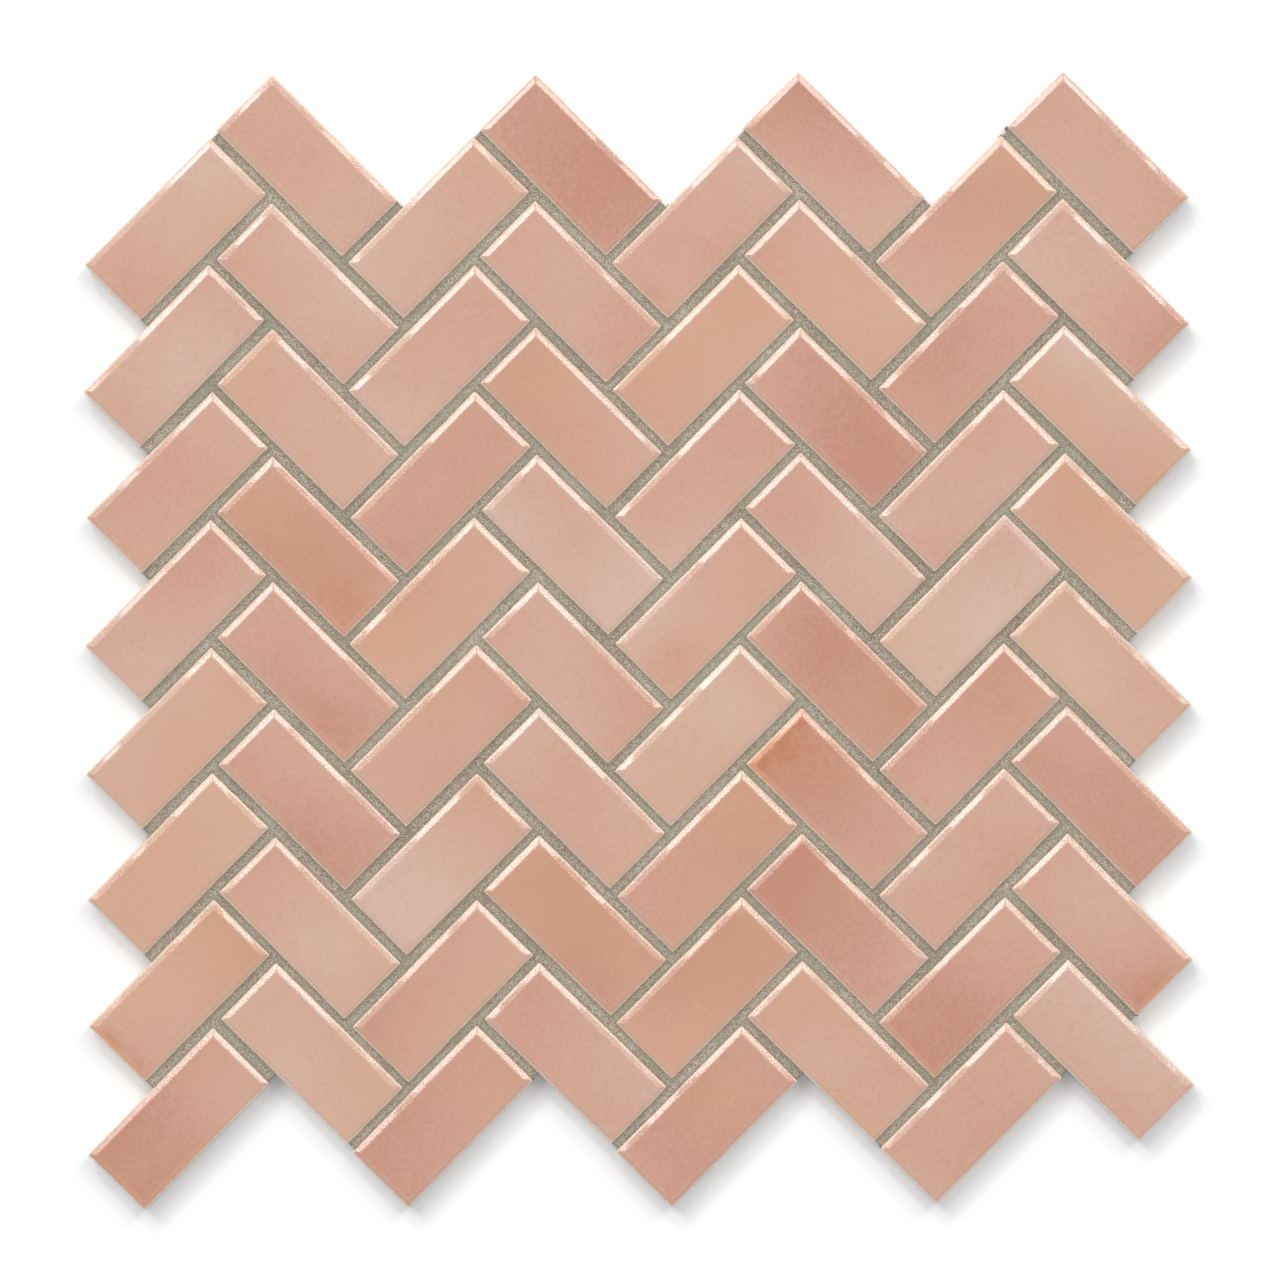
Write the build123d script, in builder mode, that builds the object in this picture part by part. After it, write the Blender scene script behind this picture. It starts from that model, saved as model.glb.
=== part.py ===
from build123d import *
import math
import os
import random

os.makedirs("parts", exist_ok=True)

# Sheet of small rectangular glazed tiles in a herringbone pattern, with grouted
# joints, on a net of glass-fibre strands. Millimetres, +Z up, faces upward.
# The origin is on the floor under the middle of the sheet.

# Tile
tile_length = 50.0
tile_width = 22.3
tile_thickness = 8.0
face_edge_radius = 1.8
back_edge_chamfer = 0.4

# Pattern
columns = 8
rows = 8
side_joint = 2.75
end_joint = 2.45

# Hand setting, the most that a tile strays from its place
stray_shift = 0.35
stray_turn = 0.5

# Grout
grout_recess = 1.1
grout_setback = 0.5

# Net
strand_width = 1.2
strand_thickness = 0.3
strand_pitch = 10.0
net_setback = 3.0
shortest_strand = 6.0

# A tile's share of the pattern, along and across, each with its joint
share_along = tile_length + 2 * end_joint - side_joint
share_across = tile_width + side_joint
column_pitch = share_along / math.sqrt(2)
row_pitch = share_across * math.sqrt(2)

back_level = 2 * strand_thickness
face_level = back_level + tile_thickness
grout_level = face_level - grout_recess


# Even columns lean right at 45 degrees and odd ones lean left, half a row higher
def tile_place(column, row):
    leans_left = column % 2
    x = (column - (columns - 1) / 2) * column_pitch
    y = ((rows - 1) / 2 - row) * row_pitch + (leans_left - 0.5) * row_pitch / 2
    return x, y, -45 if leans_left else 45


# The same place as a person leaves it when setting the tiles by hand
def set_place(column, row):
    x, y, turn = tile_place(column, row)
    hand = random.Random(1000 * column + row)
    x += hand.uniform(-stray_shift, stray_shift)
    y += hand.uniform(-stray_shift, stray_shift)
    turn += hand.uniform(-stray_turn, stray_turn)
    return Location((x, y, 0), (0, 0, turn))


# Tiles, one column at a time: square sides, a rounded rim around the glazed face
# and a small bevel around the back
columns_of_tiles = []
for column in range(columns):
    with BuildPart() as tiles:
        with BuildSketch(Plane.XY.offset(back_level)):
            with Locations([set_place(column, row) for row in range(rows)]):
                Rectangle(tile_length, tile_width)
        extrude(amount=tile_thickness)
        fillet(tiles.edges().group_by(Axis.Z)[-1], face_edge_radius)
        chamfer(tiles.edges().group_by(Axis.Z)[0], back_edge_chamfer)
    tiles.part.label = f"tiles_column_{column + 1}"
    columns_of_tiles.append(tiles.part)

# Outline of the whole sheet: every tile grown until the joints close, then drawn
# back in to the line of the tiles' own sides
closing = max(side_joint, end_joint)
with BuildSketch() as outline:
    for column in range(columns):
        for row in range(rows):
            with Locations(set_place(column, row)):
                Rectangle(tile_length + 2 * closing, tile_width + 2 * closing)
    offset(amount=-closing, kind=Kind.INTERSECTION, mode=Mode.REPLACE)

# Grout: fills the joints from the backs of the tiles to just below their faces
with BuildPart() as grout:
    with BuildSketch(Plane.XY.offset(back_level)):
        add(outline.sketch)
        offset(amount=-grout_setback, kind=Kind.INTERSECTION, mode=Mode.REPLACE)
    extrude(amount=grout_level - back_level)
    for tiles_part in columns_of_tiles:
        add(tiles_part, mode=Mode.SUBTRACT)
grout.part.label = "grout"

# Net: strands across the sheet, and strands along it laid on top of those, both
# trimmed to the sheet's outline
strands_across = 2 * round(rows * row_pitch / strand_pitch / 2) + 1
strands_along = 2 * round(columns * column_pitch / strand_pitch / 2) + 1
strand_reach = 2 * max(columns * column_pitch, rows * row_pitch)
with BuildSketch() as trim:
    add(outline.sketch)
    offset(amount=-net_setback, kind=Kind.INTERSECTION, mode=Mode.REPLACE)

with BuildPart() as net_across:
    with BuildSketch() as lines_across:
        with GridLocations(0, strand_pitch, 1, strands_across):
            Rectangle(strand_reach, strand_width)
        add(trim.sketch, mode=Mode.INTERSECT)
    long_enough = lines_across.sketch.faces().filter_by(
        lambda strand: strand.area > shortest_strand * strand_width
    )
    extrude(long_enough, amount=strand_thickness)
net_across.part.label = "net_strands_across"

with BuildPart() as net_along:
    with BuildSketch(Plane.XY.offset(strand_thickness)) as lines_along:
        with GridLocations(strand_pitch, 0, strands_along, 1):
            Rectangle(strand_width, strand_reach)
        add(trim.sketch, mode=Mode.INTERSECT)
    long_enough = lines_along.sketch.faces().filter_by(
        lambda strand: strand.area > shortest_strand * strand_width
    )
    extrude(long_enough, amount=strand_thickness)
net_along.part.label = "net_strands_along"

for piece in columns_of_tiles + [grout.part, net_across.part, net_along.part]:
    export_step(piece, f"parts/{piece.label}.step")
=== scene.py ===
import math
import random

import bpy
import numpy as np
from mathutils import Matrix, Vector, geometry


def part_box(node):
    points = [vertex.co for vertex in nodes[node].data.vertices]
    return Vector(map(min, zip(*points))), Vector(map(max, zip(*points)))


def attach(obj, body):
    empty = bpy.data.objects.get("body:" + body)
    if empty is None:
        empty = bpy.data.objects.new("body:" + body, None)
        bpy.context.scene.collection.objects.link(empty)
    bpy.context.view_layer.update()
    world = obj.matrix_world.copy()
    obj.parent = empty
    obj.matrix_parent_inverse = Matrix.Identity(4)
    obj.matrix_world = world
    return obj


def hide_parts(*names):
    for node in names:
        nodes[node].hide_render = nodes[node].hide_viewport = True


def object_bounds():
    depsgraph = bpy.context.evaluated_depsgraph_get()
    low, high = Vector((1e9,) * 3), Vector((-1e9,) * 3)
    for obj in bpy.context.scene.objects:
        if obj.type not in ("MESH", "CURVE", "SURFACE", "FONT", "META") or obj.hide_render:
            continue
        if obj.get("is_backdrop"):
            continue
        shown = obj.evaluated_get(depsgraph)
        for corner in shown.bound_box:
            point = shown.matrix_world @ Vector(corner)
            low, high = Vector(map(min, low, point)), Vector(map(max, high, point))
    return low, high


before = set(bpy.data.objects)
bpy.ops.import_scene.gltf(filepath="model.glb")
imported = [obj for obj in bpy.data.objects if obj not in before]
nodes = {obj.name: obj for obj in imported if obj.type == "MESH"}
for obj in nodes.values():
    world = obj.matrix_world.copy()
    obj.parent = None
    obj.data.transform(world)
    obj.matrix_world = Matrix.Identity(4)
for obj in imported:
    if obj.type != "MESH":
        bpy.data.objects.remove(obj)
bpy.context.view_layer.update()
MM = 0.001
COLUMNS = 8


# Reading the tiles and strands from the frame, in millimetres


def points_of(mesh):
    """A mesh's points in millimetres."""
    co = np.empty(len(mesh.vertices) * 3, np.float32)
    mesh.vertices.foreach_get("co", co)
    return co.reshape(-1, 3).astype(float) / MM


def solids_of(obj):
    """The points of each solid of a node, told apart by the edges that join them."""
    mesh = obj.data
    places, index = np.unique(np.round(points_of(mesh), 3), axis=0, return_inverse=True)
    edges = np.empty(len(mesh.edges) * 2, np.int32)
    mesh.edges.foreach_get("vertices", edges)
    pairs = index.ravel()[edges.reshape(-1, 2)]
    label = np.arange(len(places))
    while True:
        low = np.minimum(label[pairs[:, 0]], label[pairs[:, 1]])
        new = label.copy()
        np.minimum.at(new, pairs[:, 0], low)
        np.minimum.at(new, pairs[:, 1], low)
        if (new == label).all():
            break
        label = new
    return [places[label == k] for k in np.unique(label)]


class Tile:
    """Where a tile lies: its middle, the turn of its long side, its size and levels."""

    def __init__(self, points, column):
        right, top = points[points[:, 0].argmax()], points[points[:, 1].argmax()]
        left, bottom = points[points[:, 0].argmin()], points[points[:, 1].argmin()]
        self.middle = (right + top + left + bottom)[:2] / 4
        one, other = (top - left)[:2], (right - top)[:2]
        along = one if np.hypot(*one) > np.hypot(*other) else other
        self.turn = math.atan2(along[1], along[0])
        self.length = max(np.hypot(*one), np.hypot(*other))
        self.width = min(np.hypot(*one), np.hypot(*other))
        self.back, self.face = points[:, 2].min(), points[:, 2].max()
        self.column = column

    def local(self, x, y):
        """A place along and across the tile, from one in the shared frame."""
        c, s = math.cos(self.turn), math.sin(self.turn)
        dx, dy = x - self.middle[0], y - self.middle[1]
        return dx * c + dy * s, -dx * s + dy * c

    def shared(self, u, v):
        """A place in the shared frame, from one along and across the tile."""
        c, s = math.cos(self.turn), math.sin(self.turn)
        return self.middle[0] + u * c - v * s, self.middle[1] + u * s + v * c


tiles = []
for column in range(COLUMNS):
    found = [Tile(p, column) for p in solids_of(nodes[f"tiles_column_{column + 1}"])]
    found.sort(key=lambda t: -t.middle[1])
    for row, tile in enumerate(found):
        tile.row = row
    tiles.append(found)
every_tile = [tile for found in tiles for tile in found]


# Noise and meshes

NOISE_CELLS = 64


def noise(x, y, seed):
    """Smooth noise between -1 and 1, with one random value to each unit of x and y."""
    grid = np.random.RandomState(seed).uniform(-1, 1, (NOISE_CELLS, NOISE_CELLS))
    x, y = np.asarray(x, float), np.asarray(y, float)
    xi, yi = np.floor(x).astype(int), np.floor(y).astype(int)
    fx, fy = x - xi, y - yi
    fx, fy = fx * fx * (3 - 2 * fx), fy * fy * (3 - 2 * fy)
    x0, x1, y0, y1 = (i % NOISE_CELLS for i in (xi, xi + 1, yi, yi + 1))
    a, b, c, d = grid[x0, y0], grid[x1, y0], grid[x0, y1], grid[x1, y1]
    return (a * (1 - fx) + b * fx) * (1 - fy) + (c * (1 - fx) + d * fx) * fy


def smooth_step(x, low, high):
    """0 up to low, 1 from high on, and a smooth slope between them."""
    t = np.clip((np.asarray(x, float) - low) / (high - low), 0, 1)
    return t * t * (3 - 2 * t)


def make_mesh(name, co, faces, smooth=True, sharp_faces=None):
    """A mesh object from points in millimetres and faces given as arrays of corners."""
    mesh = bpy.data.meshes.new(name)
    co = np.asarray(co, np.float32) * MM
    mesh.vertices.add(len(co))
    mesh.vertices.foreach_set("co", co.ravel())
    corners = np.concatenate([f.ravel() for f in faces]).astype(np.int32)
    counts = np.concatenate([np.full(len(f), f.shape[1], np.int32) for f in faces])
    starts = np.concatenate([[0], np.cumsum(counts)[:-1]]).astype(np.int32)
    mesh.loops.add(len(corners))
    mesh.loops.foreach_set("vertex_index", corners)
    mesh.polygons.add(len(counts))
    mesh.polygons.foreach_set("loop_start", starts)
    smoothed = np.full(len(counts), smooth, bool)
    if sharp_faces is not None:
        smoothed &= ~sharp_faces
    mesh.polygons.foreach_set("use_smooth", smoothed)
    mesh.update(calc_edges=True)
    mesh.validate()
    obj = bpy.data.objects.new(name, mesh)
    bpy.context.scene.collection.objects.link(obj)
    return obj


def set_attribute(obj, name, values, kind="FLOAT_VECTOR"):
    """Gives each point of the object a value that its material reads."""
    values = np.asarray(values, np.float32)
    layer = obj.data.attributes.new(name, kind, "POINT")
    layer.data.foreach_set("vector" if kind == "FLOAT_VECTOR" else "value", values.ravel())


# Tiles: a rounded glazed rim around a nearly flat face, square sides, ribbed back

# Spans of the fine outline along a long side, a short side and half a corner's arc
LONG_SPANS, SHORT_SPANS, ARC_SPANS = 104, 44, 2
THINNING = 4  # fine spans to each coarse one
CORNER = 0.45
BACK_BEVEL = 0.4
BACK_INSET = 1.7  # from a side to the level middle of the back
SIDE_LEVELS = (BACK_BEVEL, 2.6, 4.6)  # of the coarse points on the sides, above the back
FINE_SIDE = 0.9  # how far below the rim the fine points on the sides begin
FACE_INSET = 1.0  # from the rim to the coarse points of the face
SKIN = 0.01  # how far the shown sides lie inside the solid's
FACE_SKIN, FACE_SPREAD = 0.02, 0.08  # the face's least depth below the solid's, and more
GROOVE_DEPTH, GROOVE_ROWS = 0.3, (2, 3, 5, 6, 8, 9)
# How far the sides stray inwards, coarsely and finely, and how soon that dies away
# from a side towards the middle
STRAY, FINE_STRAY, STRAY_POWER = 0.045, 0.03, 15
# The rim's swell as a share of its drop, and the depth of its pits where the glaze is
# broken, with the noise above which they start
RIM_SWELL, PIT_DEPTH, PIT_START = 0.12, 0.05, 0.15
# How much of the breaks a tile is spared, how far around its top corner more of them
# are, and the share that is left on the edges that face down the pattern
CALM_LEAST, CALM_MOST, CALM_REACH, LOW_EDGE_SHARE = -0.25, 0.35, 24, 0.25
# The face's wave and ripple, and the most that it falls in each mm along and across
WAVE, RIPPLE, TIP_U, TIP_V = 0.035, 0.012, 0.0012, 0.002
# The rim's section: the tilt in degrees at which each radius in mm begins, from the
# upright side to the level face
SECTION = ((90, 0.5), (31, 4.3), (8, 2.0))
TILTS = (90, 74, 58, 44, 31, 27, 23, 19, 15, 11, 8, 4, 0)


def rim_section():
    """How far in and how far down the rim lies at each of its tilts."""
    inset, drop, out = 0.0, 0.0, [(0.0, 0.0)]
    for before, after in zip(TILTS, TILTS[1:]):
        radius = [r for start, r in SECTION if start >= before][-1]
        inset += radius * (math.sin(math.radians(before)) - math.sin(math.radians(after)))
        drop += radius * (math.cos(math.radians(after)) - math.cos(math.radians(before)))
        out.append((inset, drop))
    return [(i, drop - d) for i, d in out]


RIM = rim_section()
RIM_WIDTH, RIM_DROP = RIM[-1][0], RIM[0][1]


def outline(half_u, half_v, radius, every=1):
    """Points around a rounded rectangle, anticlockwise from its upper right corner.

    Of every so many points, the first is given.
    """
    points = []
    for side in range(4):
        along, across, spans = (
            (half_u, half_v, LONG_SPANS) if side % 2 == 0 else (half_v, half_u, SHORT_SPANS)
        )
        bend = math.pi / 4 * np.arange(ARC_SPANS) / ARC_SPANS
        straight = spans - 2 * ARC_SPANS
        line = 1 - 2 * np.arange(straight + 1) / straight
        turn_in, turn_out = math.pi / 4 + bend, math.pi / 2 + bend[1:]
        x = np.concatenate(
            [
                along - radius + radius * np.cos(turn_in),
                (along - radius) * line,
                -along + radius + radius * np.cos(turn_out),
            ]
        )
        y = np.concatenate(
            [
                across - radius + radius * np.sin(turn_in),
                np.full(len(line), across),
                across - radius + radius * np.sin(turn_out),
            ]
        )
        for _ in range(side):
            x, y = -y, x
        points.append(np.stack([x, y], 1))
    return np.concatenate(points)[::every]


def ring_faces(lower, upper):
    """Quads between two rings of equal count, lower or outer ring first."""
    a, b = np.roll(lower, -1), np.roll(upper, -1)
    return np.stack([lower, a, b, upper], 1)


def thinning(fine, coarse):
    """Triangles from a fine outer ring to a coarse inner ring, four spans to one."""
    f = [np.roll(fine, -k)[::THINNING] for k in range(THINNING + 1)]
    c0, c1 = coarse, np.roll(coarse, -1)
    return np.concatenate(
        [
            np.stack([f[0], f[1], c0], 1),
            np.stack([f[1], f[2], c0], 1),
            np.stack([f[2], c1, c0], 1),
            np.stack([f[2], f[3], c1], 1),
            np.stack([f[3], f[4], c1], 1),
        ]
    )


def grid_inside(ring, spans_u, spans_v):
    """A grid of points with the ring as its border.

    With it come each point's place in the ring, or -1 where it has none.
    """
    right = np.concatenate([np.arange(2 * spans_u + spans_v, 2 * (spans_u + spans_v)), [0]])
    top = np.arange(0, spans_u + 1)[::-1]
    left = np.arange(spans_u, spans_u + spans_v + 1)[::-1]
    low = np.arange(spans_u + spans_v, 2 * spans_u + spans_v + 1)
    i = (np.arange(spans_u + 1) / spans_u)[:, None, None]
    j = (np.arange(spans_v + 1) / spans_v)[None, :, None]
    b, t, l, r = ring[low][:, None], ring[top][:, None], ring[left][None], ring[right][None]
    p00, p10, p01, p11 = ring[low[0]], ring[low[-1]], ring[top[0]], ring[top[-1]]
    points = (1 - j) * b + j * t + (1 - i) * l + i * r
    points -= (1 - i) * (1 - j) * p00 + i * (1 - j) * p10 + (1 - i) * j * p01 + i * j * p11
    index = np.full((spans_u + 1, spans_v + 1), -1)
    index[:, 0], index[:, -1], index[0, :], index[-1, :] = low, top, left, right
    return points, index


def tile_mesh(tile, seed):
    """One tile's points, faces and values for its materials, in the shared frame."""
    hand = random.Random(seed)
    half_u, half_v = tile.length / 2 - SKIN, tile.width / 2 - SKIN
    top_u, top_v = math.copysign(tile.length / 2, tile.turn), tile.width / 2
    calm = hand.uniform(CALM_LEAST, CALM_MOST)
    face = tile.face - FACE_SKIN - hand.uniform(0, FACE_SPREAD)
    tip_u, tip_v = hand.uniform(-TIP_U, TIP_U), hand.uniform(-TIP_V, TIP_V)
    shift = hand.uniform(0, 60)
    level = face - RIM_DROP

    def rough_share(u, v):
        """How far the glaze is broken along the rim, least near the tile's top corner."""
        far = np.hypot(u - top_u, v - top_v) / CALM_REACH
        broken = 0.55 + 0.75 * noise(u / 9 + shift, v / 9, seed + 6)
        broken = np.clip(broken - 0.75 * np.exp(-far * far) - calm, 0, 1)
        beside = half_v - np.abs(v) < half_u - np.abs(u)
        lift = np.where(
            beside, np.sign(v) * math.cos(tile.turn), np.sign(u) * math.sin(tile.turn)
        )
        return broken * np.where(lift > 0, 1, LOW_EDGE_SHARE)

    def strayed(points, inset, amount, fine=True):
        """Moves points inwards a little, as a pressed tile's sides are never straight."""
        u, v = points[:, 0], points[:, 1]
        stray = STRAY * (1 + noise(u / 6 + shift, v / 6, seed))
        if fine:
            stray = stray + FINE_STRAY * (1 + noise(u / 0.9, v / 0.9 + shift, seed + 1))
        turn_u = np.clip(u / (half_u - inset), -1, 1) ** STRAY_POWER
        turn_v = np.clip(v / (half_v - inset), -1, 1) ** STRAY_POWER
        return np.stack([u - turn_u * stray * amount, v - turn_v * stray * amount], 1)

    coords, insets, faces = [], [], []
    total = 0

    def add_points(points, z, inset):
        """Adds points and returns their numbers."""
        nonlocal total
        coords.append(np.column_stack([points, np.broadcast_to(z, len(points))]))
        insets.append(np.broadcast_to(inset, len(points)).astype(float))
        total += len(points)
        return np.arange(total - len(points), total)

    def grid_faces(numbers, index, inside, own):
        """Quads of a grid, from the numbers of its border's points and its own."""
        index = np.where(inside, 0, numbers[index])
        index[inside] = own
        return np.stack(
            [index[:-1, :-1], index[1:, :-1], index[1:, 1:], index[:-1, 1:]], -1
        ).reshape(-1, 4)

    # back and lower sides, coarse
    coarse = outline(half_u, half_v, CORNER, THINNING)
    bevelled = outline(half_u - BACK_BEVEL, half_v - BACK_BEVEL, CORNER * 0.7, THINNING)
    inner = outline(half_u - BACK_INSET, half_v - BACK_INSET, CORNER, THINNING)
    back_rim = add_points(inner, tile.back, 0)
    last = add_points(strayed(bevelled, BACK_BEVEL, 1, False), tile.back, 0)
    faces.append(ring_faces(back_rim, last))
    for height in SIDE_LEVELS:
        here = add_points(strayed(coarse, 0, 1, False), tile.back + height, 0)
        faces.append(ring_faces(last, here))
        last = here

    # upper sides and rim, fine
    here = add_points(strayed(outline(half_u, half_v, CORNER), 0, 1), level - FINE_SIDE, 0)
    faces.append(thinning(here, last)[:, ::-1])
    last = here
    for inset, drop in RIM:
        share = inset / RIM_WIDTH
        points = strayed(outline(half_u - inset, half_v - inset, CORNER), inset, 1 - share)
        u, v = points[:, 0], points[:, 1]
        middle = math.sin(math.pi * share)
        drop = drop * (1 + RIM_SWELL * noise(u / 8 + shift, v / 8, seed + 2) * middle)
        pits = np.maximum(0, noise(u / 0.7, v / 0.7 + shift, seed + 3) - PIT_START)
        drop = drop + PIT_DEPTH * pits * middle**0.5 * rough_share(u, v)
        here = add_points(points, face - drop, inset)
        faces.append(ring_faces(last, here))
        last = here
    inset = RIM_WIDTH + FACE_INSET
    ring = outline(half_u - inset, half_v - inset, CORNER, THINNING)
    face_rim = add_points(ring, face, inset)
    faces.append(thinning(last, face_rim))

    # face
    spans = LONG_SPANS // THINNING, SHORT_SPANS // THINNING
    points, index = grid_inside(ring, *spans)
    inside = index < 0
    points = points[inside]
    depth = np.minimum(half_u - np.abs(points[:, 0]), half_v - np.abs(points[:, 1]))
    own = add_points(points, face, depth)
    faces.append(grid_faces(face_rim, index, inside, own))
    smooth_part = sum(len(f) for f in faces)

    # back face, with three ribs raised along it between shallow grooves
    points, index = grid_inside(inner, *spans)
    inside = index < 0
    along, across = np.nonzero(inside)
    groove = np.isin(across, GROOVE_ROWS) & (along > 1) & (along < spans[0] - 1)
    own = add_points(points[inside], tile.back + GROOVE_DEPTH * groove, 0)
    faces.append(grid_faces(back_rim, index, inside, own)[:, [0, 3, 2, 1]])

    u, v, z = np.concatenate(coords).T
    inset = np.concatenate(insets)
    # the whole face tips and waves a little, and never rises above the frame's face
    share = smooth_step(z, level, face)
    wave = WAVE * (noise(u / 14 + shift, v / 14, seed + 4) - 1) + RIPPLE * (
        noise(u / 4.5, v / 4.5 + shift, seed + 5) - 1
    )
    tip = -np.abs(tip_u) * (half_u - np.sign(tip_u) * u) - np.abs(tip_v) * (
        half_v - np.sign(tip_v) * v
    )
    z = z + share * (wave + tip)
    x, y = tile.shared(u, v)
    sharp = np.zeros(sum(len(f) for f in faces), bool)
    sharp[: len(faces[0]) + len(faces[1])] = True  # the back's border and bevel
    sharp[smooth_part:] = True
    return (
        np.column_stack([x, y, z]),
        faces,
        sharp,
        np.column_stack([u, v, inset]),
        rough_share(u, v),
    )


# Stains that single tiles show: column, row, where along and across the tile (-1 to 1),
# reach in mm along and across, and strength
STAINS = [
    (5, 5, -1.0, 0.0, 12.0, 30.0, 0.8),
    (5, 5, -0.6, 0.2, 20.0, 24.0, 0.45),
    (1, 3, 0.75, -0.4, 12.0, 9.0, 0.42),
    (1, 3, 0.2, 0.2, 24.0, 14.0, 0.22),
    (0, 6, -0.98, 0.35, 3.0, 4.0, 0.95),
    (0, 6, -1.0, -0.4, 4.0, 8.0, 0.55),
    (4, 0, -1.0, -0.3, 4.0, 9.0, 0.5),
    (7, 6, 0.95, -0.3, 6.0, 12.0, 0.5),
    (6, 6, -1.0, -0.2, 3.5, 12.0, 0.5),
    (0, 7, -0.6, -0.9, 18.0, 7.0, 0.3),
    (4, 3, -0.7, -0.3, 10.0, 8.0, 0.25),
    (1, 4, 0.6, -0.5, 14.0, 8.0, 0.35),
    (5, 4, 0.9, 0.6, 10.0, 8.0, 0.3),
    (2, 4, 0.9, -0.9, 10.0, 4.0, 0.2),
]
# Tiles that stand out as deeper or paler than their neighbours: tone, column and row
STAND_OUT = {
    0.84: {(0, 7), (2, 7), (4, 7), (5, 4), (7, 6), (1, 3)},
    0.7: {(6, 7), (6, 1), (4, 5), (3, 0)},
    0.18: {(0, 4), (0, 5), (3, 3), (6, 3)},
}


def stained(tile, u, v):
    """How strongly each point of a tile is stained."""
    value = np.zeros(len(u))
    for column, row, at_u, at_v, reach_u, reach_v, strength in STAINS:
        if (column, row) == (tile.column, tile.row):
            far = ((u - at_u * tile.length / 2) / reach_u) ** 2 + (
                (v - at_v * tile.width / 2) / reach_v
            ) ** 2
            value = np.maximum(value, strength * np.exp(-far))
    return value


glazed = []
for column, found in enumerate(tiles):
    co, place, cast, marks = [], [], [], []
    faces, sharp = {3: [], 4: []}, {3: [], 4: []}
    start = 0
    for tile in found:
        seed = 100 * tile.column + 10 * tile.row + 7
        points, parts, is_sharp, values, broken = tile_mesh(tile, seed)
        at = 0
        for part in parts:
            faces[part.shape[1]].append(part + start)
            sharp[part.shape[1]].append(is_sharp[at : at + len(part)])
            at += len(part)
        start += len(points)
        co.append(points)
        place.append(values)
        hand = random.Random(seed + 5)
        depth = min(0.75, max(0.25, hand.gauss(0.5, 0.14)))
        for tone, places in STAND_OUT.items():
            if (tile.column, tile.row) in places:
                depth = tone
        cast.append(np.tile([depth, hand.random(), hand.random()], (len(points), 1)))
        stain = stained(tile, values[:, 0], values[:, 1])
        marks.append(np.column_stack([stain, broken, np.zeros(len(points))]))
    obj = make_mesh(
        f"glazed_tiles_{column + 1}",
        np.concatenate(co),
        [np.concatenate(faces[3]), np.concatenate(faces[4])],
        True,
        np.concatenate(sharp[3] + sharp[4]),
    )
    set_attribute(obj, "place", np.concatenate(place))
    set_attribute(obj, "cast", np.concatenate(cast))
    set_attribute(obj, "marks", np.concatenate(marks))
    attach(obj, "root")
    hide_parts(f"tiles_column_{column + 1}")
    glazed.append(obj)


# Grout: a sanded bed, a little hollow between the tiles

CELL = 0.55
REACH = 225  # of the grid of cells, from the sheet's middle
OVERLAP = 0.6  # how far the cells' middles go on into a tile, so that no gap shows
OVERLAP_CELLS = 2
GRAIN_ASIDE, GRAIN_UP = 0.14, 0.075
HOLLOW_DEPTH, HOLLOW_RISE, HOLLOW_REACH = 0.34, 0.2, 1.2
FAR, TINY, LEVEL_MARGIN = 99.0, 1e-6, 0.01
UNDERSIDE_SKIN = 0.02  # how far the shown underside lies above the solid's
grout_node = nodes["grout"]
grout_low, grout_high = (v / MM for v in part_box("grout"))
level, under = grout_high.z, grout_low.z


def turned(x, y):
    """A place on the grid, which lies along the tiles, from one in the shared frame."""
    return (x + y) / math.sqrt(2), (y - x) / math.sqrt(2)


def turned_back(p, q):
    """A place in the shared frame, from one on the grid."""
    return (p - q) / math.sqrt(2), (p + q) / math.sqrt(2)


def tile_distance(x, y):
    """Distance to the nearest tile's side, less than zero inside a tile."""
    nearest = np.full(np.shape(x), FAR)
    for tile in every_tile:
        u, v = tile.local(x, y)
        qu, qv = np.abs(u) - tile.length / 2, np.abs(v) - tile.width / 2
        outside = np.hypot(np.maximum(qu, 0), np.maximum(qv, 0))
        nearest = np.minimum(nearest, outside + np.minimum(np.maximum(qu, qv), 0))
    return nearest


def covered(mesh, p, q):
    """Which grid points lie under the node's upper faces."""
    mesh.calc_loop_triangles()
    tri = np.empty(len(mesh.loop_triangles) * 3, np.int32)
    mesh.loop_triangles.foreach_get("vertices", tri)
    co, tri = points_of(mesh), tri.reshape(-1, 3)
    tri = tri[(co[tri][:, :, 2] > level - LEVEL_MARGIN).all(1)]
    hit = np.zeros(np.shape(p), bool)
    for corners in co[tri]:
        a = np.column_stack(turned(corners[:, 0], corners[:, 1]))
        i0, j0 = np.floor((a.min(0) - [p[0, 0], q[0, 0]]) / CELL).astype(int)
        i1, j1 = np.ceil((a.max(0) - [p[0, 0], q[0, 0]]) / CELL).astype(int) + 1
        i0, j0 = max(i0, 0), max(j0, 0)
        px, qx = p[i0:i1, j0:j1], q[i0:i1, j0:j1]
        # a grid point is inside when it lies on the same side of all three edges
        sides = []
        for k in range(3):
            b, c = a[k], a[(k + 1) % 3]
            sides.append((c[0] - b[0]) * (qx - b[1]) - (c[1] - b[1]) * (px - b[0]))
        sides = np.array(sides)
        hit[i0:i1, j0:j1] |= (sides >= -TINY).all(0) | (sides <= TINY).all(0)
    return hit


count = int(2 * REACH / CELL)
edge_line = -REACH + CELL * np.arange(count + 1)
middle_line = edge_line[:-1] + CELL / 2
p, q = np.meshgrid(middle_line, middle_line, indexing="ij")
joint = covered(grout_node.data, p, q)
beside = joint.copy()
for axis in (0, 1):
    for step in range(-OVERLAP_CELLS, OVERLAP_CELLS + 1):
        beside |= np.roll(joint, step, axis)
near = np.zeros_like(joint)
x, y = turned_back(p[beside], q[beside])
near[beside] = np.abs(tile_distance(x, y) + OVERLAP / 2) < OVERLAP / 2
cells = joint | (beside & near)
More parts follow.
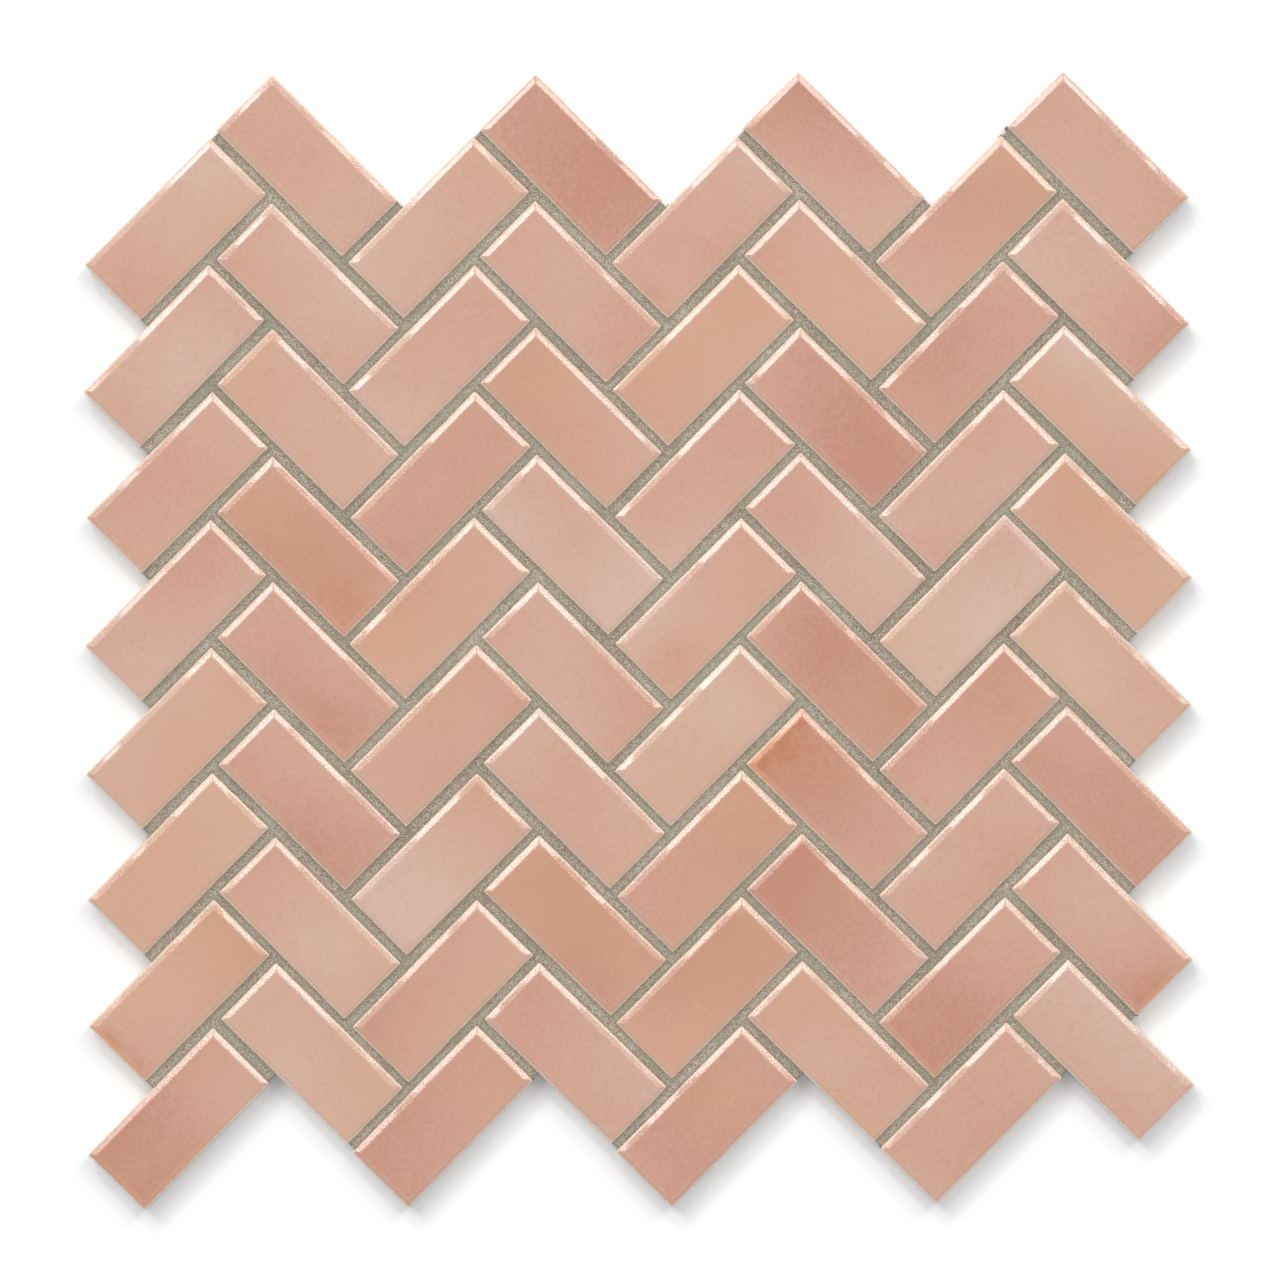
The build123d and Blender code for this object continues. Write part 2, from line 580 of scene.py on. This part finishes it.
# cells that meet only at a corner get a third cell beside them
while True:
    a, b, c, d = cells[:-1, :-1], cells[1:, :-1], cells[:-1, 1:], cells[1:, 1:]
    one, other = a & d & ~b & ~c, b & c & ~a & ~d
    if not (one.any() or other.any()):
        break
    b |= one
    a |= other

corner_used = np.zeros((count + 1, count + 1), bool)
for a in (0, 1):
    for b in (0, 1):
        corner_used[a : count + a, b : count + b] |= cells
number = np.full((count + 1, count + 1), -1)
number[corner_used] = np.arange(corner_used.sum())
pi, qi = np.nonzero(corner_used)
amid = cells[pi, qi] & cells[pi - 1, qi] & cells[pi, qi - 1] & cells[pi - 1, qi - 1]
gx, gy = turned_back(edge_line[pi], edge_line[qi])
away = tile_distance(gx, gy)
sand = np.random.RandomState(4)
grain = sand.uniform(-1, 1, len(gx))
gx = gx + GRAIN_ASIDE * amid * sand.uniform(-1, 1, len(gx))
gy = gy + GRAIN_ASIDE * amid * sand.uniform(-1, 1, len(gx))
hollow = HOLLOW_DEPTH * smooth_step(away, 0.0, HOLLOW_REACH) - HOLLOW_RISE
gz = level - hollow + GRAIN_UP * grain + 0.07 * noise(gx / 2.3, gy / 2.3, 61)
gz = gz + 0.1 * noise(gx / 11, gy / 11, 62)
i, j = np.nonzero(cells)
upper = np.stack([number[i, j], number[i + 1, j], number[i + 1, j + 1], number[i, j + 1]], 1)

# the bed's sides, below each edge that only one cell has, and its underside
edges = np.concatenate([np.stack([upper[:, k], upper[:, (k + 1) % 4]], 1) for k in range(4)])
key = np.sort(edges, 1)
order = np.lexsort((key[:, 1], key[:, 0]))
sorted_key = key[order]
same = (sorted_key[1:] == sorted_key[:-1]).all(1)
single = np.ones(len(order), bool)
single[1:] &= ~same
single[:-1] &= ~same
rim = edges[order[single]]
rim_points = np.unique(rim)
below = np.full(len(gx), -1)
below[rim_points] = len(gx) + np.arange(len(rim_points))
sides = np.stack([rim[:, 1], rim[:, 0], below[rim[:, 0]], below[rim[:, 1]]], 1)
bx, by = gx[rim_points], gy[rim_points]
flat_index = {int(v): k for k, v in enumerate(rim_points)}
rim_edges = [(flat_index[int(a)], flat_index[int(b)]) for a, b in rim]
flat_points = [Vector((a, b)) for a, b in zip(bx.tolist(), by.tolist())]
cdt = geometry.delaunay_2d_cdt(flat_points, rim_edges, [], 0, 1e-5)
cdt_points = np.array([tuple(v) for v in cdt[0]])
cdt_faces = np.array(cdt[2])
mx, my = cdt_points[cdt_faces].mean(1).T
mp, mq = turned(mx, my)
inside = cells[
    np.clip(((mp + REACH) / CELL).astype(int), 0, count - 1),
    np.clip(((mq + REACH) / CELL).astype(int), 0, count - 1),
]
# a triangle at the rim is inside when it lies to the rim's left
codes = np.array(rim_edges) @ (1, len(bx))
turns = cdt_faces[:, [[0, 1], [1, 2], [2, 0]]]
inside |= np.isin(turns @ (1, len(bx)), codes).any(1)
inside &= ~np.isin(turns @ (len(bx), 1), codes).any(1)
lower = cdt_faces[inside][:, ::-1] + len(gx)
co = np.concatenate(
    [
        np.column_stack([gx, gy, gz]),
        np.column_stack([cdt_points, np.full(len(cdt_points), under + UNDERSIDE_SKIN)]),
    ]
)
grout = make_mesh("sanded_grout", co, [lower, upper, sides])
wall = np.concatenate([away, np.full(len(cdt_points), 0.5)])
set_attribute(grout, "wall", wall, "FLOAT")
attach(grout, "root")
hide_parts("grout")


# Net: flat glass strands, a little uneven in width

RING = 8
STRAND_SPAN = 2.6
TAPER = 0.55  # of the width at a strand's ends
END_INSET = 0.7  # of a strand's half width, from the solid's ends
SQUARE_ACROSS, SQUARE_UP = 0.7, 0.8  # 1 is a round section and 0 a square one


def strands(name, node, axis):
    """A rounded bar in place of each strand of a node, along x (0) or y (1)."""
    co, quads, start = [], [], 0
    hand = random.Random(axis + 1)
    for points in solids_of(nodes[node]):
        low, high = points.min(0), points.max(0)
        across = 1 - axis
        half = (high[across] - low[across]) / 2
        thick = (high[2] - low[2]) / 2
        first, last = low[axis] + half * END_INSET, high[axis] - half * END_INSET
        count = max(3, int((last - first) / STRAND_SPAN))
        seed = hand.randrange(1000)
        t = np.linspace(first, last, count + 1)
        wide = half * (0.86 + 0.12 * noise(t / 3.1, t * 0 + seed, 71))
        wide[[0, -1]] *= TAPER
        turn = np.arange(RING) / RING * 2 * math.pi
        c, s = np.cos(turn), np.sin(turn)
        offset = np.sign(c) * np.abs(c) ** SQUARE_ACROSS
        lift = np.sign(s) * np.abs(s) ** SQUARE_UP
        body = np.zeros((count + 1, RING, 3))
        body[:, :, axis] = t[:, None]
        body[:, :, across] = (low[across] + high[across]) / 2 + wide[:, None] * offset
        body[:, :, 2] = (low[2] + high[2]) / 2 + thick * lift[None, :]
        co.append(body.reshape(-1, 3))
        index = start + np.arange((count + 1) * RING).reshape(count + 1, RING)
        a, b = index[:-1], index[1:]
        quads.append(np.stack([a, b, np.roll(b, -1, 1), np.roll(a, -1, 1)], -1).reshape(-1, 4))
        for end, flip in ((index[0], False), (index[-1], True)):
            cap = [
                [end[0], end[1], end[2], end[3]],
                [end[0], end[3], end[4], end[7]],
                [end[4], end[5], end[6], end[7]],
            ]
            quads.append(np.array([f[::-1] if flip else f for f in cap]))
        start += (count + 1) * RING
    quads = np.concatenate(quads)
    if axis == 0:
        quads = quads[:, ::-1]
    obj = make_mesh(name, np.concatenate(co), [quads])
    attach(obj, "root")
    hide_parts(node)
    return obj


net_pieces = [
    strands("glass_net_across", "net_strands_across", 0),
    strands("glass_net_along", "net_strands_along", 1),
]


# Materials


def rgb(r, g, b):
    """A colour given as it looks on screen, 0 to 255, made linear."""
    out = []
    for v in (r, g, b):
        v /= 255
        out.append(v / 12.92 if v <= 0.04045 else ((v + 0.055) / 1.055) ** 2.4)
    return (*out, 1.0)


class Nodes:
    """A material's nodes, put together by calls that take and give sockets or values."""

    def __init__(self, name):
        self.material = bpy.data.materials.new(name)
        self.material.use_nodes = True
        self.tree = self.material.node_tree
        self.tree.nodes.clear()
        self.out = self.tree.nodes.new("ShaderNodeOutputMaterial")
        self.shader = self.tree.nodes.new("ShaderNodeBsdfPrincipled")
        self.join(self.shader.outputs[0], self.out.inputs["Surface"])

    def join(self, a, b):
        self.tree.links.new(a, b)

    def put(self, value, socket):
        if isinstance(value, bpy.types.NodeSocket):
            self.join(value, socket)
        else:
            socket.default_value = value

    def attribute(self, name, output="Vector"):
        n = self.tree.nodes.new("ShaderNodeAttribute")
        n.attribute_name = name
        return n.outputs[output]

    def split(self, vector):
        n = self.tree.nodes.new("ShaderNodeSeparateXYZ")
        self.put(vector, n.inputs[0])
        return n.outputs

    def place(self):
        return self.tree.nodes.new("ShaderNodeTexCoord").outputs["Object"]

    def vector(self, kind, *values):
        n = self.tree.nodes.new("ShaderNodeVectorMath")
        n.operation = kind
        for value, socket in zip(values, n.inputs):
            self.put(value, socket)
        return n.outputs[0]

    def scale(self, vector, amount):
        n = self.tree.nodes.new("ShaderNodeVectorMath")
        n.operation = "SCALE"
        self.put(vector, n.inputs[0])
        self.put(amount, n.inputs["Scale"])
        return n.outputs[0]

    def math(self, kind, *values, clamp=False):
        n = self.tree.nodes.new("ShaderNodeMath")
        n.operation = kind
        n.use_clamp = clamp
        for value, socket in zip(values, n.inputs):
            self.put(value, socket)
        return n.outputs[0]

    def noise(self, vector, scale, detail=2.0, rough=0.5, distort=0.0):
        n = self.tree.nodes.new("ShaderNodeTexNoise")
        self.put(vector, n.inputs["Vector"])
        n.inputs["Scale"].default_value = scale
        n.inputs["Detail"].default_value = detail
        n.inputs["Roughness"].default_value = rough
        n.inputs["Distortion"].default_value = distort
        return n.outputs[0]

    def sway(self, noise, amount, value):
        """The value, raised or lowered as the noise lies above or below its middle."""
        return self.math("MULTIPLY_ADD", self.math("SUBTRACT", noise, 0.5), amount, value)

    def ramp(self, value, low, high, to_low=0.0, to_high=1.0):
        n = self.tree.nodes.new("ShaderNodeMapRange")
        n.interpolation_type = "SMOOTHSTEP"
        self.put(value, n.inputs["Value"])
        for name, v in (
            ("From Min", low),
            ("From Max", high),
            ("To Min", to_low),
            ("To Max", to_high),
        ):
            self.put(v, n.inputs[name])
        return n.outputs[0]

    def colours(self, value, stops):
        n = self.tree.nodes.new("ShaderNodeValToRGB")
        self.put(value, n.inputs[0])
        band = n.color_ramp
        while len(band.elements) > 1:
            band.elements.remove(band.elements[-1])
        band.elements[0].position, band.elements[0].color = stops[0]
        for position, colour in stops[1:]:
            band.elements.new(position).color = colour
        return n.outputs[0]

    def mix(self, share, a, b):
        n = self.tree.nodes.new("ShaderNodeMix")
        n.data_type = "RGBA"
        self.put(share, n.inputs[0])
        self.put(a, n.inputs[6])
        self.put(b, n.inputs[7])
        return n.outputs[2]

    def bump(self, height, distance, normal=None):
        n = self.tree.nodes.new("ShaderNodeBump")
        n.inputs["Strength"].default_value = 1.0
        n.inputs["Distance"].default_value = distance
        self.put(height, n.inputs["Height"])
        if normal is not None:
            self.put(normal, n.inputs["Normal"])
        return n.outputs[0]


def glaze_material():
    m = Nodes("glazed_tile")
    place = m.attribute("place")
    cast = m.attribute("cast")
    stain, broken, _ = m.split(m.attribute("marks"))
    inset = m.split(place)[2]
    depth, hue, _ = m.split(cast)
    spot = m.scale(m.vector("MULTIPLY", place, (1, 1, 0)), 0.1)
    spot = m.vector("ADD", spot, m.scale(cast, 37.0))  # each tile has its own noise
    fine_spot = m.scale(spot, 10.0)

    clouds = m.noise(spot, 0.17, 0.6, 0.4, 0.1)
    mottle = m.noise(spot, 2.1, 4.0, 0.6, 0.3)
    fleck = m.noise(spot, 9.0, 2.0, 0.6)
    tone = m.sway(clouds, 1.7, depth)
    tone = m.sway(mottle, 0.2, tone)
    tone = m.sway(fleck, 0.6, tone)
    base = m.colours(
        tone,
        [
            (0.0, rgb(215, 179, 162)),
            (0.3, rgb(211, 167, 148)),
            (0.55, rgb(207, 157, 135)),
            (0.8, rgb(201, 145, 122)),
            (1.0, rgb(194, 132, 107)),
        ],
    )
    # some tiles, and parts of tiles, lean to tan instead of pink
    warm = m.noise(m.vector("ADD", spot, (7.3, 1.9, 4.4)), 0.25, 0.8, 0.5)
    warm = m.sway(warm, 2.1, hue)
    base = m.mix(m.ramp(warm, 0.3, 1.15, 0.0, 0.52), base, rgb(211, 161, 124))
    # patches of fine freckles
    freckle = m.noise(m.vector("ADD", spot, (1.7, 5.2, 9.1)), 5.0, 3.0, 0.65)
    patch = m.noise(m.vector("ADD", spot, (8.4, 2.6, 0.7)), 0.6, 1.0, 0.5)
    freckle = m.math("MULTIPLY", m.ramp(freckle, 0.5, 0.7, 0.0, 0.4), m.ramp(patch, 0.5, 0.66))
    base = m.mix(freckle, base, rgb(201, 143, 108))
    # iron specks
    speck = m.noise(m.vector("ADD", spot, (3.1, 8.9, 2.4)), 7.5, 1.0, 0.5)
    base = m.mix(m.ramp(speck, 0.73, 0.84, 0.0, 0.35), base, rgb(178, 116, 84))
    # stains, with a painted highlight in their colour where they reach the rim
    ragged = m.noise(spot, 3.2, 4.0, 0.65, 0.4)
    amount = m.math("MULTIPLY", stain, m.ramp(ragged, 0.2, 0.75, 0.55, 1.35), clamp=True)
    base = m.mix(amount, base, rgb(190, 112, 70))
    # where a stain reaches the rim, the rim turns a brighter orange: partly the stain's own
    # colour, partly a painted highlight in place of the gloss that the coat loses on stains
    rim_stain_and_highlight = m.math("MULTIPLY", amount, m.ramp(inset, 0.8, 2.2, 0.8, 0.0))
    base = m.mix(rim_stain_and_highlight, base, rgb(240, 158, 108))
    # the glaze is thin at the rim's outer edge and the pale body shows through
    thin = m.noise(fine_spot, 1.5, 3.0, 0.65)
    thin = m.sway(thin, 0.7, inset)
    pale = m.ramp(thin, 0.16, 0.55, 0.9, 0.0)
    base = m.mix(pale, base, rgb(248, 229, 203))
    # where it is broken further in, it is pale in small flakes
    flake = m.noise(fine_spot, 2.1, 2.0, 0.6)
    rim = m.ramp(inset, 1.7, 2.3, 1.0, 0.0)
    inward = m.math("MULTIPLY", rim, m.ramp(inset, 0.45, 0.95, 0.15, 1.0))
    inward = m.math("MULTIPLY", inward, m.ramp(broken, 0.05, 0.45))
    chipped = m.math("MULTIPLY", m.ramp(flake, 0.5, 0.58), inward)
    # partly painted light: the whole rim is paler, for glaze that thins there, and as painted
    # light that lifts the shade on the rims facing away from the lamps and whitens their
    # highlights
    base = m.mix(m.math("MULTIPLY", rim, 0.13), base, rgb(240, 214, 196))
    # the flakes where the glaze is broken are pale
    base = m.mix(m.math("MULTIPLY", chipped, 0.06), base, rgb(240, 208, 190))
    # bare clay below the glaze's lower line, on the sides and back
    height = m.split(m.place())[2]
    drip = m.noise(m.place(), 260.0, 2.0, 0.5)
    line = m.sway(drip, 0.0022, height)
    bare = m.ramp(line, 0.0032, 0.0039, 1.0, 0.0)
    clay_noise = m.noise(m.place(), 900.0, 3.0, 0.6)
    clay = m.mix(clay_noise, rgb(214, 188, 164), rgb(233, 214, 194))
    base = m.mix(bare, base, clay)
    m.put(base, m.shader.inputs["Base Color"])

    gloss = m.sway(mottle, 0.1, 0.15)
    gloss = m.math("MULTIPLY_ADD", chipped, 0.25, gloss)
    rough = m.math("MULTIPLY_ADD", bare, 0.62, gloss, clamp=True)
    m.put(rough, m.shader.inputs["Roughness"])
    m.shader.inputs["IOR"].default_value = 1.6
    m.shader.inputs["Specular IOR Level"].default_value = 0.5
    coat = m.math("MULTIPLY", m.ramp(amount, 0.3, 0.8, 0.9, 0.3), m.math("SUBTRACT", 1.0, bare))
    coat = m.math("MULTIPLY", coat, m.ramp(broken, 0.0, 0.3, 1.0, 0.75))
    m.put(coat, m.shader.inputs["Coat Weight"])
    m.put(m.math("MULTIPLY_ADD", chipped, 0.25, 0.16), m.shader.inputs["Coat Roughness"])

    skin = m.noise(fine_spot, 0.4, 2.0, 0.5)
    peel = m.noise(fine_spot, 2.3, 2.0, 0.6)
    peel = m.math("MULTIPLY", m.math("SUBTRACT", peel, 0.5), m.ramp(inset, 2.0, 3.2, 1.0, 0.1))
    cracks = m.math("MULTIPLY", m.math("SUBTRACT", flake, 0.5), inward)
    normal = m.bump(cracks, 0.00028)
    normal = m.bump(peel, 0.00005, normal)
    normal = m.bump(skin, 0.00005, normal)
    m.put(normal, m.shader.inputs["Coat Normal"])
    m.put(normal, m.shader.inputs["Normal"])
    return m.material


def grout_material():
    m = Nodes("grout")
    place = m.place()
    wall = m.attribute("wall", "Fac")
    grain = m.noise(place, 3200.0, 2.0, 0.7)
    coarse = m.noise(place, 1500.0, 2.0, 0.6)
    patch = m.noise(place, 70.0, 3.0, 0.55)
    tone = m.sway(grain, 4.2, 0.5)
    tone = m.sway(coarse, 0.9, tone)
    drift = m.noise(place, 60.0, 2.0, 0.5)
    tone = m.sway(drift, 0.7, tone)
    base = m.colours(
        tone,
        [
            (0.0, rgb(130, 118, 102)),
            (0.35, rgb(163, 151, 135)),
            (0.6, rgb(184, 172, 156)),
            (1.0, rgb(222, 211, 196)),
        ],
    )
    base = m.mix(m.ramp(patch, 0.4, 0.75, 0.0, 0.45), base, rgb(160, 163, 143))
    # painted shade: the grout turns a darker brown towards the tiles' sides, where shade falls in
    # the joints
    base = m.mix(m.ramp(wall, 0.0, 1.1, 0.45, 0.0), base, rgb(140, 126, 106))
    m.put(base, m.shader.inputs["Base Color"])
    m.shader.inputs["Roughness"].default_value = 0.9
    m.shader.inputs["Specular IOR Level"].default_value = 0.3
    normal = m.bump(grain, 0.00022)
    normal = m.bump(coarse, 0.0003, normal)
    m.put(normal, m.shader.inputs["Normal"])
    return m.material


def net_material():
    m = Nodes("net")
    place = m.place()
    fibre = m.noise(place, 2400.0, 2.0, 0.6)
    soil = m.noise(place, 120.0, 2.0, 0.5)
    base = m.mix(fibre, rgb(206, 205, 196), rgb(240, 239, 233))
    base = m.mix(m.ramp(soil, 0.45, 0.8, 0.0, 0.4), base, rgb(214, 205, 186))
    m.put(base, m.shader.inputs["Base Color"])
    m.shader.inputs["Roughness"].default_value = 0.55
    m.put(m.bump(fibre, 0.0001), m.shader.inputs["Normal"])
    return m.material


glaze, grout_look, net_look = glaze_material(), grout_material(), net_material()
for obj in glazed:
    obj.data.materials.append(glaze)
grout.data.materials.append(grout_look)
for obj in net_pieces:
    obj.data.materials.append(net_look)
for name, obj in nodes.items():
    look = net_look if name.startswith("net") else grout_look if name == "grout" else glaze
    for slot in obj.material_slots:
        slot.material = look


# Floor, light and camera

FLOOR_HALF, FLOOR_LEVEL = 3000, -0.02
floor = make_mesh(
    "floor",
    [
        (x * FLOOR_HALF, y * FLOOR_HALF, FLOOR_LEVEL)
        for x, y in ((-1, -1), (1, -1), (1, 1), (-1, 1))
    ],
    [np.array([[0, 1, 2, 3]])],
    False,
)
m = Nodes("floor")
m.shader.inputs["Base Color"].default_value = (0.972, 0.972, 0.98, 1)
m.shader.inputs["Roughness"].default_value = 1.0
m.shader.inputs["Specular IOR Level"].default_value = 0.0
# the camera sees the floor a little brighter and cooler than its light makes it
path = m.tree.nodes.new("ShaderNodeLightPath")
m.shader.inputs["Emission Color"].default_value = (0.8, 1, 1.22, 1)
m.put(m.math("MULTIPLY", path.outputs["Is Camera Ray"], 0.1), m.shader.inputs["Emission Strength"])
floor.data.materials.append(m.material)
floor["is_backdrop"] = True

# The white around the sheet: full for the camera and in reflections, dimmer as light
FILL = 0.355
world = bpy.data.worlds.new("studio")
bpy.context.scene.world = world
world.use_nodes = True
tree = world.node_tree
tree.nodes.clear()
background = tree.nodes.new("ShaderNodeBackground")
output = tree.nodes.new("ShaderNodeOutputWorld")
path = tree.nodes.new("ShaderNodeLightPath")
seen = path.outputs["Is Camera Ray"]
for ray in ("Is Glossy Ray", "Is Transmission Ray"):
    either = tree.nodes.new("ShaderNodeMath")
    either.operation = "MAXIMUM"
    tree.links.new(seen, either.inputs[0])
    tree.links.new(path.outputs[ray], either.inputs[1])
    seen = either.outputs[0]
strength = tree.nodes.new("ShaderNodeMapRange")
tree.links.new(seen, strength.inputs["Value"])
strength.inputs["To Min"].default_value = FILL
strength.inputs["To Max"].default_value = 1.0
tree.links.new(strength.outputs[0], background.inputs["Strength"])
background.inputs["Color"].default_value = (1.0, 1.0, 1.0, 1)
tree.links.new(background.outputs[0], output.inputs[0])


KEY = 6.5
LAMP_DISTANCE, LAMP_HEIGHT, LAMP_TALL = 8.0, 53, 4.8
LAMP_COLOUR = (1.0, 0.985, 0.96)


def softbox(name, azimuth, wide, height=LAMP_HEIGHT, tall=LAMP_TALL, radiance=KEY):
    """A soft light at that azimuth from the top of the pattern, aimed at the sheet."""
    light = bpy.data.lights.new(name, "AREA")
    light.shape = "RECTANGLE"
    light.size, light.size_y = wide, tall
    light.energy = radiance * math.pi * wide * tall
    light.color = LAMP_COLOUR
    obj = bpy.data.objects.new(name, light)
    bpy.context.scene.collection.objects.link(obj)
    a, e = math.radians(azimuth), math.radians(height)
    place = Vector((math.sin(a) * math.cos(e), math.cos(a) * math.cos(e), math.sin(e)))
    obj.location = place * LAMP_DISTANCE
    obj.rotation_euler = place.to_track_quat("Z", "Y").to_euler()
    return obj


softbox("softbox_right", 44, 1.5)
softbox("softbox_left", -44, 2.1)
# narrow strips between them keep the highlight whole around a tile's top corner
for azimuth in (-22, 0, 22):
    softbox(f"strip_{azimuth + 22}", azimuth, 0.34)
# a compact lamp that shows in no reflection gives the sheet's shadow its even band
softbox("shadow_lamp", -20, 1.0, height=45, tall=1.0, radiance=21.0).visible_glossy = False

WIDTH_SEEN = 0.3572  # in metres, at the level of the faces
CAMERA_ASIDE, CAMERA_TURN = 0.0003, -0.3
camera = bpy.data.cameras.new("camera")
camera.lens, camera.sensor_width = 200, 36
view = bpy.data.objects.new("camera", camera)
bpy.context.scene.collection.objects.link(view)
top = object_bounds()[1][2]
distance = WIDTH_SEEN * camera.lens / camera.sensor_width
view.location = (CAMERA_ASIDE, 0, top + distance)
view.rotation_euler = (0, 0, math.radians(CAMERA_TURN))
bpy.context.scene.camera = view
bpy.context.scene.view_settings.view_transform = "Standard"
